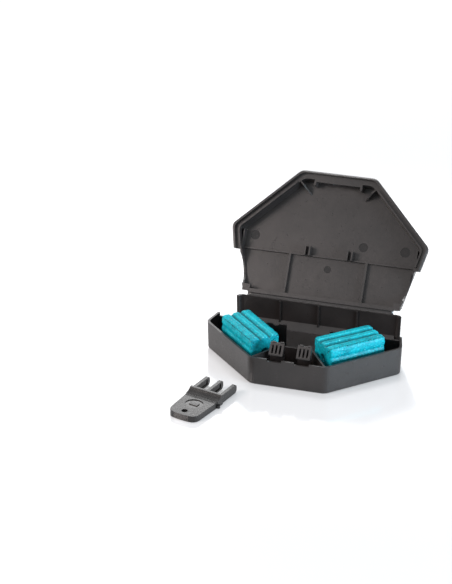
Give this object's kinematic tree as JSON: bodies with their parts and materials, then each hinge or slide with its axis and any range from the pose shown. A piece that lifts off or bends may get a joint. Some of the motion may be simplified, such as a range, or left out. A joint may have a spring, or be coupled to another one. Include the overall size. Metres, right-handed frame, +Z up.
{
  "type": "bait station",
  "caption": "Open six-sided mouse bait station: entry tray with baffles, wax blocks, living-hinge lid, snap latch fingers and a loose pronged key.",
  "frame": {"origin": "centre of the flat underside of the tray, on the floor plane", "axes": "+Z up out of the open tray, -Y towards the front wall with the latch, +Y towards the hinged back wall, +X to the right seen from the front"},
  "size_m": [0.1652, 0.2421, 0.1182],
  "materials": {
    "base_tray": "satin moulded plastic with a fine texture",
    "hinge_strip": "satin moulded plastic with a fine texture",
    "latch_base": "satin moulded plastic with a fine texture",
    "latch_finger_left": "satin moulded plastic with a fine texture",
    "latch_finger_right": "satin moulded plastic with a fine texture",
    "lid": "satin moulded plastic with a fine texture",
    "bait_block_left": "extruded wax with a waxy sheen",
    "bait_block_right": "extruded wax with a waxy sheen",
    "key": "satin moulded plastic"
  },
  "bodies": {
    "base": {"base_tray": "base_tray", "hinge_strip": "hinge_strip", "latch_base": "latch_base"},
    "lid": {"lid": "lid"},
    "latch_finger_left": {"latch_finger_left": "latch_finger_left"},
    "latch_finger_right": {"latch_finger_right": "latch_finger_right"},
    "bait_block_left": {"bait_block_left": "bait_block_left"},
    "bait_block_right": {"bait_block_right": "bait_block_right"},
    "key": {"key": "key"}
  },
  "joints": [
    {"name": "lid_hinge", "type": "hinge", "parent": "base", "child": "lid", "pos_m": [0, 0.0533, 0.0265], "axis": [-1, 0, 0], "range_deg": [-124, 0]},
    {"name": "latch_left", "type": "hinge", "parent": "base", "child": "latch_finger_left", "pos_m": [-0.011, -0.0404, 0.005], "axis": [-1, 0, 0], "range_deg": [0, 5], "stiffness_Nm_per_rad": 0.15},
    {"name": "latch_right", "type": "hinge", "parent": "base", "child": "latch_finger_right", "pos_m": [0.011, -0.0404, 0.005], "axis": [-1, 0, 0], "range_deg": [0, 5], "stiffness_Nm_per_rad": 0.15},
    {"name": "bait_left_lift", "type": "slide", "parent": "base", "child": "bait_block_left", "axis": [0, 0, 1], "range_m": [0, 0.05]},
    {"name": "bait_right_lift", "type": "slide", "parent": "base", "child": "bait_block_right", "axis": [0, 0, 1], "range_m": [0, 0.05]},
    {"name": "key_lift", "type": "slide", "parent": "base", "child": "key", "axis": [0, 0, 1], "range_m": [0, 0.03]}
  ]
}
